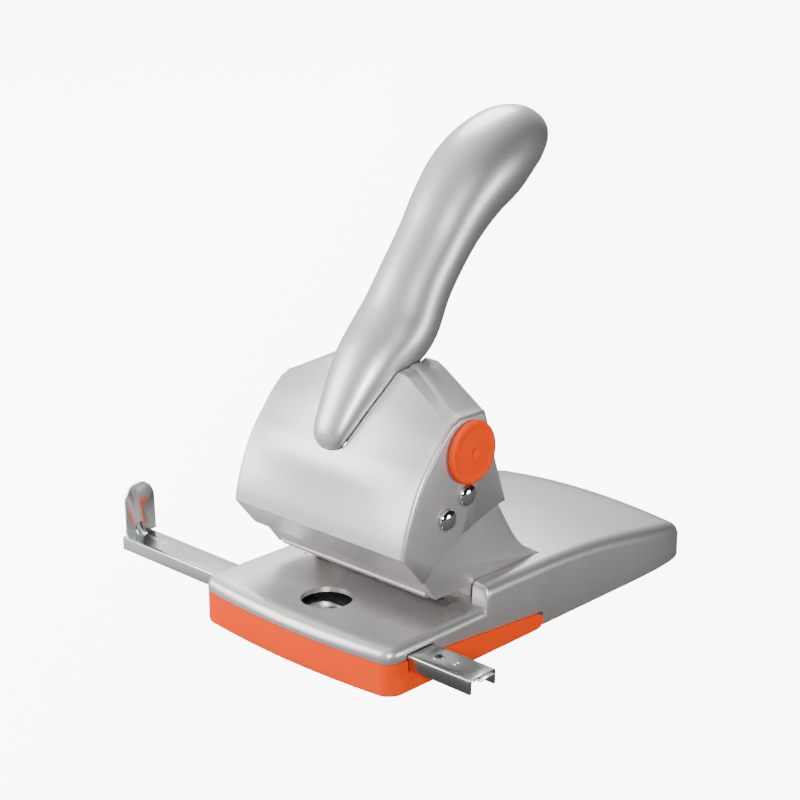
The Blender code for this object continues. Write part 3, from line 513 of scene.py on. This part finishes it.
def lever_head():
    """The hood over the punches, with the knob's recess and a web for the handle."""
    rings = []
    for x, inset in head_stations():
        ring = head_section(x, inset)
        ring += [(y - inset * 0.8, z) for y, z in curve_through(HEAD_BACK, 2)]
        ring += [(y, z + inset * 0.3) for y, z in curve_through(HEAD_LOWER, 2)]
        rings.append([(x, y, z) for y, z in ring])
    head = skin("lever_hood", rings)
    half = HEAD_HALF - WALL - 0.0002
    rings = []
    for i in range(21):
        x = -half + 2 * half * i / 20
        ring = head_section(x, WALL)
        ring[0] = (ring[0][0] + 0.0002, ring[0][1] + 0.0006)
        ring += [(y - WALL, z) for y, z in HEAD_BACK]
        ring += [(0.0770, 0.0600), (0.0400, 0.0300), (0.0230, 0.0300), (0.0191, 0.0506)]
        rings.append([(x, y, z) for y, z in ring])
    carve(head, skin("hollow", rings))
    carve(head, block("web", (-0.0585, 0.0362, 0.1150), (0.0585, 0.0655, 0.1180)), "UNION")
    groove = skin("groove", handle_rings(0.00075), drawn=True)
    carve(groove, block("keep", (-0.05, 0.0340, 0.0900), (0.05, 0.0760, 0.1180)))
    carve(head, groove)
    for side in (-1, 1):
        x0, x1 = sorted((side * 0.0490, side * 0.0572))
        carve(head, block("cheek_way", (x0, 0.0560, 0.0500), (x1, 0.0900, 0.1060)))
        carve(head, peg("screw_hole", (side * 0.010, 0.047, 0.1165), 0.0023, 0.008))
    carve(head, peg("axle_hole", (0, *PIVOT), AXLE_HOLE_RADIUS, 2 * CUT_ACROSS, "X"))
    carve(head, peg("drive_hole", (0, *DRIVE), 0.0038, 2 * CUT_ACROSS, "X"))
    carve(head, peg("knob_hole", (0.060, *KNOB), 0.0053, 0.02, "X"))
    return finish_piece(head, "lever", ["lever_head"], SILVER, 28)


# ---- base ------------------------------------------------------------------------------------
def seam_z(y):
    """Height of the seam between shell and tray."""
    return SEAM_Z - SEAM_SLOPE * max(0.0, y)


def bow(x, y, half):
    """Forward bow of the front, gone by the bar."""
    fade = min(1.0, max(0.0, (0.004 - y) / 0.014))
    return FRONT_BOW * (x / half) ** 2 * fade


def cover_ring(y, half, top, low, corner, crown, arc_steps=8):
    """A cross-section of the shell: flat below, round shoulders and a slightly crowned top."""
    upper = [(-half, top - corner)]
    for i in range(1, arc_steps + 1):
        angle = math.radians(90 * i / arc_steps)
        upper.append((-half + corner * (1 - math.cos(angle)), top - corner + corner * math.sin(angle)))
    flat = half - corner
    upper += [(x * flat, top + crown * (1 - x * x)) for x in (-0.8, -0.6, -0.4, -0.2)]
    upper += [(0.0, top + crown)] + [(-x, z) for x, z in reversed(upper)]
    lower = [(x, low) for x, _ in upper]
    return [(x, y + bow(x, y, half), z) for x, z in lower + upper[::-1]]


# Rows of y, half width, height of the top, corner radius and crown.
FRONT_STATIONS = [(FRONT_Y, 0.0605, 0.0206, 0.0020, 0), (-0.0157, 0.0632, 0.0226, 0.0030, 0),
                  (-0.0140, 0.0652, 0.0243, 0.0038, 0), (-0.0110, 0.0665, 0.0254, 0.0042, 0),
                  (-0.0060, BASE_HALF, DECK_Z, 0.0045, 0), (0.0040, BASE_HALF, DECK_Z, 0.0045, 0)]
STEP_STATIONS = [(STEP_Y - 0.0006, BASE_HALF, DECK_Z, 0.0045, 0),
                 (STEP_Y - 0.0004, BASE_HALF, 0.0300, 0.0050, 0),
                 (STEP_Y, BASE_HALF, 0.0345, 0.0055, 0.0003),
                 (STEP_Y + 0.0006, BASE_HALF, 0.0360, 0.0055, 0.0006),
                 (STEP_Y + 0.0014, BASE_HALF, 0.0369, 0.0055, 0.0010),
                 (STEP_Y + 0.0030, BASE_HALF, 0.0374, 0.0060, 0.0014)]
REAR_STATIONS = [(0.1000, BASE_HALF, 0.0372, 0.0060, 0.0020), (0.1120, BASE_HALF, 0.0370, 0.0060, 0.0026),
                 (0.1280, BASE_HALF, 0.0364, 0.0062, 0.0032), (0.1450, BASE_HALF, 0.0352, 0.0064, 0.0038),
                 (0.1620, BASE_HALF, 0.0334, 0.0066, 0.0042), (0.1800, BASE_HALF, 0.0308, 0.0068, 0.0044),
                 (0.1980, 0.0665, 0.0280, 0.0068, 0.0044), (0.2100, 0.0655, 0.0258, 0.0066, 0.0042),
                 (0.2190, 0.0640, 0.0234, 0.0062, 0.0038), (0.2255, 0.0615, 0.0204, 0.0056, 0.0030),
                 (0.2300, 0.0580, 0.0160, 0.0044, 0.0018), (REAR_Y, 0.0540, 0.0110, 0.0030, 0.0006)]


def drawn_in(ring):
    """The same ring with its upper and lower halves brought together half-way up."""
    count = len(ring) // 2
    lower, upper = ring[:count], ring[count:][::-1]
    middle = [(x, y, (z0 + z1) / 2) for (x, y, z0), (_, _, z1) in zip(lower, upper)]
    return middle + middle[::-1]


def base_cover():
    """Painted cover: paper deck, raised rear deck, slots for the bar and the format window."""
    tray_end = TRAY_HINGE[0] + 0.0047
    stations = curve_through(FRONT_STATIONS, 3) + STEP_STATIONS + curve_through(REAR_STATIONS, 3)
    rings = []
    for y, half, top, corner, crown in stations:
        low = seam_z(min(y, TRAY_HINGE[0])) if y < tray_end else REAR_EDGE_Z
        if rings and y > tray_end > rings[-1][0][1]:
            for edge_y, edge_low in ((tray_end, seam_z(TRAY_HINGE[0])), (tray_end + 0.0002, REAR_EDGE_Z)):
                rings.append(cover_ring(edge_y, half, 0.0372, edge_low, 0.0060, 0.0020))
        rings.append(cover_ring(y, half, top, low, corner, crown))
    rings = [drawn_in(rings[0])] + rings + [drawn_in(rings[-1])]
    shell = skin("base_cover", rings, drawn=True)
    inset = WALL + 0.0002
    hollow = []
    for y, half, top, corner, crown in stations:
        moved = min(y, REAR_Y - inset)
        if y < STEP_Y + 0.004:
            moved = y + inset + (RAIL_INNER_Y - STEP_Y if y > STEP_Y - 0.001 else 0.0)
        if hollow and moved <= hollow[-1][0][1] + 0.0001:
            continue
        hollow.append(cover_ring(moved, half - inset, top - WALL, -0.010, max(0.0008, corner - WALL), crown))
    hollow = [drawn_in(hollow[0])] + hollow + [drawn_in(hollow[-1])]
    carve(shell, skin("under", hollow, drawn=True))
    carve(shell, block("bar_slot", (-CUT_ACROSS, -0.0006, BAR_LOW - 0.0006),
                       (CUT_ACROSS, BAR_WIDTH + 0.0006, BAR_TOP + 0.0006)))
    carve(shell, peg("window", (0, WINDOW_Y, DECK_Z), WINDOW_RADIUS, 0.010, "Z", 96))
    inner = CHEEK_OUT + 0.0006
    carve(shell, block("low_deck", (-inner, STEP_Y - 0.003, DECK_Z - 0.0001), (inner, RAIL_INNER_Y, 0.060)))
    carve(shell, block("foot_well", (-inner, RAIL_INNER_Y - 0.0006, 0.001), (inner, 0.1094, 0.061)))
    carve(shell, block("stop_well", (-0.0513, BACK_STOP_Y - GAP, 0.002), (0.0513, 0.0700, 0.059)))
    carve(shell, block("die_well", (-0.0503, DIE_FRONT_Y - GAP, 0.020), (0.0503, DIE_BACK_Y + GAP, 0.030)))
    return finish_piece(shell, "base", ["base_shell"], SILVER, 30)


def painted_shade_sheet():
    """Black sheet under the deck, behind the bar: painted shade, not a part of the punch, that darkens the
    view through the round window.
    """
    sheet = block("painted_shade_sheet", (SHADE_SHEET_X[0], BAR_WIDTH + 0.0012, BAR_TOP - 0.0026),
                  (SHADE_SHEET_X[1], SHADE_SHEET_BACK_Y, BAR_TOP - 0.0016))
    return finish_piece(sheet, "base", [], BLACK)


def punch_frame():
    """Cast frame: two cheeks, throat roof with guide towers, back stop, flared back and foot."""
    py, pz = PIVOT
    flare = curve_through([(FRAME_BACK_Y, 0.0376), (0.1047, 0.0393), (0.0982, 0.0440), (0.0925, 0.0496),
                           (0.0884, 0.0551), (0.0844, 0.0612), (0.0804, 0.0677), (0.0772, 0.0729),
                           (0.0720, 0.0815), (0.0660, 0.0875)], 3)
    cheek = [(0.0316, THROAT_TOP), (RAIL_INNER_Y, THROAT_TOP), (RAIL_INNER_Y, FOOT_Z), (FRAME_BACK_Y, FOOT_Z)]
    cheek += flare + arc((py, pz), 0.0262, 28, 44, 6) + arc((py, pz), 0.0225, 58, 196, 28)
    cheek += [(0.0165, 0.0600), (0.0205, 0.0530), (0.0224, 0.0474)]
    body = soften(plate("punch_frame", cheek, CHEEK_IN, CHEEK_OUT), 0.0006)
    carve(body, soften(plate("cheek", cheek, -CHEEK_OUT, -CHEEK_IN), 0.0006), "UNION")
    web = CHEEK_IN + 0.0010
    brow = [(0.0224, 0.0474), (0.0300, 0.0375), (0.0320, 0.0395), (0.0252, 0.0492)]
    roof_back = BACK_STOP_Y - 0.0020
    stop_back = BACK_STOP_Y + 0.0032
    roof = [(0.0292, 0.0372), (0.0304, THROAT_TOP + 0.00001), (roof_back, THROAT_TOP + 0.00001),
            (roof_back, 0.0390), (0.0296, 0.0390)]
    stop = [(BACK_STOP_Y, FOOT_Z + 0.00001), (stop_back, FOOT_Z + 0.00001), (stop_back, 0.0390),
            (roof_back - 0.0005, 0.0390), (roof_back - 0.0005, THROAT_TOP + 0.0002),
            (BACK_STOP_Y, THROAT_TOP + 0.0002)]
    floor_front = RAIL_INNER_Y + 0.0010
    floor = [(floor_front, FOOT_Z + 0.00002), (0.1060, FOOT_Z + 0.00002),
             (0.1060, 0.0112), (floor_front, 0.0112)]
    inner = [(0.0782, 0.0664), (0.0860, 0.0535), (0.0905, 0.0474), (0.0965, 0.0415), (0.1030, 0.0370),
             (0.1056, 0.0355)]
    back = [(FRAME_BACK_Y - 0.00002, FOOT_Z + 0.00002)]
    back += [(y - 0.00002, z - 0.00001) for y, z in flare if z < 0.0680]
    back += curve_through(inner, 2) + [(0.1056, FOOT_Z + 0.00002)]
    for name, outline in (("brow", brow), ("roof", roof), ("stop", stop), ("floor", floor), ("back", back)):
        carve(body, plate(name, outline, -web, web), "UNION")
    for side in (-1, 1):
        carve(body, peg("tower", (side * HOLE_X, PUNCH_Y, 0.0405), 0.0072, 0.0070), "UNION")
        carve(body, peg("bore", (side * HOLE_X, PUNCH_Y, 0.040), 0.0050, 0.03))
    carve(body, peg("axle_bore", (0, py, pz), AXLE_HOLE_RADIUS, 2 * CUT_ACROSS, "X"))
    slot = arc(PIVOT, DRIVE_ARM + 0.0041, 46, -18, 20) + arc(PIVOT, DRIVE_ARM - 0.0041, -18, 46, 20)
    carve(body, plate("drive_slot", slot, -CUT_ACROSS, CUT_ACROSS))
    return finish_piece(body, "base", ["frame_casting"], CAST, 30)


# ---- turned pieces ---------------------------------------------------------------------------
def turned(name, centre, profile, base_x, side, count=64, drawn=True):
    """Circles stacked outwards along X, from a list of radius and height."""
    rings = []
    for radius, height in profile:
        ring = []
        for i in range(count):
            angle = 2 * math.pi * i / count
            ring.append((side * (base_x + height), centre[0] + radius * math.cos(angle),
                         centre[1] + radius * math.sin(angle)))
        rings.append(ring)
    return skin(name, rings, drawn=drawn)


SPRING_LOW = 0.0449
SPRING_HIGH = 0.0592
SPRING_RADIUS = 0.0042
SPRING_WIRE_RADIUS = 0.00040


def return_springs():
    """Coil springs round the punches, built at one length; the real ones close up as the punches go down."""
    turns, per_turn, around = 5, 16, 8
    low, radius, wire = SPRING_LOW, SPRING_RADIUS, SPRING_WIRE_RADIUS
    for side, word in ((-1, "left"), (1, "right")):
        rings = []
        for i in range(turns * per_turn + 1):
            angle = 2 * math.pi * i / per_turn
            height = low + (SPRING_HIGH - low) * i / (turns * per_turn)
            ring = []
            for j in range(around):
                out = radius + wire * math.cos(2 * math.pi * j / around)
                ring.append((side * HOLE_X + out * math.cos(angle), PUNCH_Y + out * math.sin(angle),
                             height + wire * math.sin(2 * math.pi * j / around)))
            rings.append(ring)
        coil = skin("coil_spring_" + word, rings)
        finish_piece(coil, "base", ["return_spring_" + word], STEEL, 50)
        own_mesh(coil)


CAP_RADIUS = 0.0058
CAP_RISE = 0.0026


def end_caps():
    """Domed chrome caps on the ends of the axle and of the drive pin."""
    dome = [(0.0, 0.0), (CAP_RADIUS - 0.0002, 0.0), (CAP_RADIUS, 0.0003)]
    for degrees in range(12, 91, 13):
        angle = math.radians(degrees)
        dome.append((CAP_RADIUS * math.cos(angle), 0.0003 + CAP_RISE * math.sin(angle)))
    dome.append((0.0, 0.0003 + CAP_RISE))
    for word, side in (("left", -1), ("right", 1)):
        for kind, centre, body in (("pivot", PIVOT, "base"), ("drive", DRIVE, "lever")):
            piece = turned("%s_dome_%s" % (kind, word), centre, dome, HEAD_HALF + GAP, side)
            finish_piece(piece, body, ["%s_cap_%s" % (kind, word)], POLISH, 50)


MARK_REACH = 0.0112            # from the knob's middle to each direction mark
MARK_SIZE = 0.0011


def lock_button():
    """Round orange button with a rounded rim, a dished middle and two small direction marks."""
    base_x = HEAD_HALF + 0.0004
    profile = [(0.0, 0.0), (KNOB_RADIUS - 0.0004, 0.0), (KNOB_RADIUS, 0.0004), (KNOB_RADIUS, 0.0015)]
    for degrees in (15, 30, 45, 60, 75):
        angle = math.radians(degrees)
        profile.append((KNOB_RADIUS - 0.0018 * (1 - math.cos(angle)), 0.0015 + 0.0017 * math.sin(angle)))
    profile += [(0.0142, 0.0032), (0.0134, 0.0031), (0.0126, 0.0029), (0.0100, 0.0030), (0.0070, 0.0032),
                (0.0040, 0.0033), (0.0030, 0.0034), (0.0024, 0.0032), (0.0012, 0.0027), (0.0, 0.0026)]
    button = turned("lock_button", KNOB, profile, base_x, 1, 96)
    face = base_x + 0.0031
    for degrees in (20, -45):
        angle = math.radians(degrees)
        tip = (KNOB[0] + MARK_REACH * math.cos(angle), KNOB[1] + MARK_REACH * math.sin(angle))
        mark = [(tip[0] + MARK_SIZE * math.cos(angle + turn), tip[1] + MARK_SIZE * math.sin(angle + turn))
                for turn in (0, 2.1, 4.2)]
        carve(button, plate("mark", mark, face - 0.0005, face + 0.001))
    return finish_piece(button, "lock", ["lock_knob"], ORANGE, 40)


# ---- guide bar -------------------------------------------------------------------------------
def format_bar():
    """Chromed channel with a turned-up stop at its left end, a spring lip and format marks."""
    sheet = BAR_SHEET
    bar = soften(block("format_bar", (BAR_LEFT, 0, BAR_LOW), (BAR_RIGHT, BAR_WIDTH, BAR_TOP)), 0.0007, 3)
    carve(bar, block("inside", (BAR_LEFT - 0.01, sheet, BAR_LOW - 0.01),
                     (BAR_RIGHT + 0.01, BAR_WIDTH - sheet, BAR_TOP - sheet)))
    top = BAR_TOP + TAB_HEIGHT
    radius = 0.0100
    middle = BAR_WIDTH / 2 + 0.0032
    tab = [(0.0028, BAR_TOP - 0.0010), (BAR_WIDTH + 0.0046, BAR_TOP - 0.0010),
           (BAR_WIDTH + 0.0042, top - radius)]
    tab += arc((middle, top - radius), radius, 12, 168, 20) + [(0.0026, top - radius)]
    stop = soften(plate("stop", tab, BAR_LEFT - 0.0003, BAR_LEFT + sheet), 0.0003)
    carve(bar, stop, "UNION")
    lip = soften(block("lip", (BAR_RIGHT - 0.001, 0.0040, BAR_TOP - sheet + 0.0001),
                       (BAR_RIGHT + 0.0030, BAR_WIDTH - 0.0040, BAR_TOP - 0.0001)), 0.0004)
    carve(bar, lip, "UNION")
    gusset = [(-0.0012, 0.0), (0.0072, 0.0), (0.0050, 0.0012), (0.0022, 0.0034),
              (0.0006, 0.0066), (-0.0012, 0.0100)]
    rings = []
    for y in (0.0098, 0.0106, 0.0122, 0.0130):
        squeeze = 0.55 if y in (0.0098, 0.0130) else 1.0
        rings.append([(BAR_LEFT + 0.0010 + x * squeeze, y, BAR_TOP - 0.0004 + z * squeeze)
                      for x, z in gusset])
    carve(bar, skin("gusset", rings), "UNION")
    rim = peg("rim", (0.0790, 0.0090, BAR_TOP), 0.0031, 0.0006)
    carve(bar, soften(rim, 0.00025), "UNION")
    carve(bar, peg("hole", (0.0790, 0.0090, BAR_TOP), 0.0019, 0.01, "Z", 32))
    for x in (-0.126, 0.0890):
        for y in (0.0078, 0.0102):
            carve(bar, block("tick", (x, y, BAR_TOP - 0.0002), (x + 0.0016, y + 0.0006, BAR_TOP + 0.001)))
    return finish_piece(bar, "bar", ["guide_bar"], CHROME, 30)


# ---- tray ------------------------------------------------------------------------------------
def tray_ring(y, half, low, high, edge):
    """Cross-section of the tray with rounded lower edges."""
    across = [(-half, low + edge)]
    for degrees in (22.5, 45, 67.5, 90):
        angle = math.radians(degrees)
        across.append((-half + edge * (1 - math.cos(angle)), low + edge * (1 - math.sin(angle))))
    across += [(x * (half - edge), low) for x in (-0.75, -0.5, -0.25, 0.0)]
    across += [(-x, z) for x, z in reversed(across[:-1])]
    ring = across + [(x, high) for x, _ in reversed(across)]
    return [(x, y + bow(x, y, half), z) for x, z in ring]


def tray_form(name, inset, floor, extra):
    """The tray's form: bowed front, round corners, upper edge falling to the hinge."""
    end = TRAY_HINGE[0] + 0.0042
    corner = []
    for degrees in range(0, 91, 10):
        angle = math.radians(degrees)
        corner.append((FRONT_Y + 0.0090 * (1 - math.cos(angle)), 0.0590 + 0.0090 * math.sin(angle)))
    rows = corner + [(0.0040, TRAY_HALF), (0.0500, TRAY_HALF), (end, TRAY_HALF)]
    rings = []
    for i, (y, half) in enumerate(rows):
        high = seam_z(min(y + inset, TRAY_HINGE[0])) - GAP + extra
        lift = 0.0006 * max(0, 2 - i)
        rings.append(tray_ring(y + inset, half - inset, floor + lift, high, 0.0012))
    rings = [drawn_in(rings[0])] + rings + [drawn_in(rings[-1])]
    return skin(name, rings, drawn=True)


def waste_tray():
    """The orange tray that holds the chips and hinges at its back."""
    y, z = TRAY_HINGE
    tray = tray_form("waste_tray", 0.0, TRAY_FLOOR, 0.0)
    carve(tray, tray_form("inside", TRAY_WALL, TRAY_FLOOR + 0.0016, 0.02))
    end = arc((y, z), 0.0040, 90, -65, 20)
    end += [(y - 0.0045, 0.0008), (y - 0.0045, -0.01), (0.12, -0.01), (0.12, 0.03), (y, 0.03)]
    carve(tray, plate("end", end, -CUT_ACROSS, CUT_ACROSS))
    carve(tray, block("notch", (-CUT_ACROSS, -0.0006, BAR_LOW - 0.0008),
                      (CUT_ACROSS, BAR_WIDTH + 0.0006, 0.03)))
    carve(tray, peg("pin_hole", (0, y, z), *TRAY_PIN_HOLE, "X", 32))
    carve(tray, block("back_wall", (-0.0665, 0.0590, 0.0018), (0.0665, 0.0608, 0.0120)), "UNION")
    carve(tray, block("gap", (-0.0645, 0.0925, -0.0100), (0.0645, 0.1200, 0.0300)))
    return finish_piece(tray, "tray", ["chip_tray"], ORANGE, 30)


# ---- floor, light, camera --------------------------------------------------------------------
FLOOR_SIZE = 24.0
FLOOR_GLOW = 9.0                       # seen by the camera alone, and lights nothing
# painted light and shade: the floor's colour is pale towards this side and dark away from it
FLOOR_PAINTED_LIGHT_SIDE = (-0.80, -0.60, 0.0)
BRIGHT_SIDE = (-0.84, -0.24, 0.48)     # where the surroundings are bright
AIM = Vector((0, 0.08, 0.08))          # the point that every light faces
SOFTBOXES = (("key", (-1.3, -1.3, 0.8), 1.5, 50.0),
             ("top", (-0.9, 0.9, 1.5), 1.2, 36.0),
             ("fill", (1.30, -1.05, 0.75), 0.45, 34.0),
             ("side", (1.5, 0.70, 0.12), 0.6, 13.0))


def reach_along(tree, vector, direction):
    """How far a vector reaches along a direction."""
    node = tree.nodes.new("ShaderNodeVectorMath")
    node.operation = "DOT_PRODUCT"
    tree.links.new(vector, node.inputs[0])
    node.inputs[1].default_value = direction
    return node.outputs["Value"]


def studio_floor():
    """White to the camera; to the object its colour is painted light and shade, pale on one side and dark on
    the other.
    """
    bpy.ops.object.select_all(action="DESELECT")
    bpy.ops.mesh.primitive_plane_add(size=FLOOR_SIZE, location=(0, 0, 0))
    floor = bpy.context.object
    floor.name = "studio_floor"
    mat = bpy.data.materials.new("studio_paper")
    mat.use_nodes = True
    tree = mat.node_tree
    shader = tree.nodes["Principled BSDF"]
    place = tree.nodes.new("ShaderNodeNewGeometry").outputs["Position"]
    # painted light and shade: the floor's colour falls from pale to dark across it, for the metal to reflect
    painted_floor_shade = remap(tree, reach_along(tree, place, FLOOR_PAINTED_LIGHT_SIDE), -0.02, 0.20, 0.06, 0.50)
    tree.links.new(painted_floor_shade, shader.inputs["Base Color"])
    shader.inputs["Roughness"].default_value = 0.9
    shader.inputs["Specular IOR Level"].default_value = 0.1
    seen = tree.nodes.new("ShaderNodeLightPath").outputs["Is Camera Ray"]
    shader.inputs["Emission Color"].default_value = (1, 1, 1, 1)
    tree.links.new(math_node(tree, "MULTIPLY", seen, FLOOR_GLOW), shader.inputs["Emission Strength"])
    floor.data.materials.append(mat)


def surroundings():
    """A soft room, bright on one side and nearly dark on the other."""
    world = bpy.data.worlds.new("studio")
    bpy.context.scene.world = world
    world.use_nodes = True
    tree = world.node_tree
    direction = tree.nodes.new("ShaderNodeTexCoord").outputs["Generated"]
    level = remap(tree, reach_along(tree, direction, BRIGHT_SIDE), -0.20, 0.85, 0.02, 1.7)
    tree.links.new(level, tree.nodes["Background"].inputs["Strength"])
    tree.nodes["Background"].inputs["Color"].default_value = (1.0, 1.0, 1.0, 1)


def softboxes():
    """Round area lights, all facing the object."""
    for name, place, size, power in SOFTBOXES:
        light = bpy.data.lights.new(name, "AREA")
        light.shape = "DISK"
        light.size = size
        light.energy = power
        lamp = bpy.data.objects.new(name, light)
        bpy.context.scene.collection.objects.link(lamp)
        lamp.location = place
        lamp.rotation_euler = (AIM - Vector(place)).to_track_quat("-Z", "Y").to_euler()


CAMERA_PLACE = (0.63641, -0.60174, 0.4205)
CAMERA_AZIMUTH = 43.66
CAMERA_ELEVATION = 18.19
CAMERA_LENS_MM = 86.31


def camera():
    """Long lens, from the front right and slightly above."""
    data = bpy.data.cameras.new("camera")
    data.sensor_width = 36.0
    data.lens = CAMERA_LENS_MM
    data.clip_end = 50.0
    eye = bpy.data.objects.new("camera", data)
    bpy.context.scene.collection.objects.link(eye)
    eye.location = CAMERA_PLACE
    eye.rotation_euler = (math.radians(90 - CAMERA_ELEVATION), 0.0, math.radians(CAMERA_AZIMUTH))
    bpy.context.scene.camera = eye


def dress_nodes():
    """Gives every node that stays its finish."""
    for part in frame["record"]["subparts"]:
        obj = frame["nodes"][part["node"]]
        mat = SLOT_MATERIALS[part["material_slot"]]
        for i in range(len(obj.data.materials)):
            obj.data.materials[i] = mat
        if not obj.data.materials:
            obj.data.materials.append(mat)


camera()
studio_floor()
surroundings()
softboxes()
dress_nodes()
lever_handle()
lever_head()
base_cover()
# painted shade: black sheet seen through the round window
painted_shade_sheet()
punch_frame()
return_springs()
end_caps()
lock_button()
format_bar()
waste_tray()
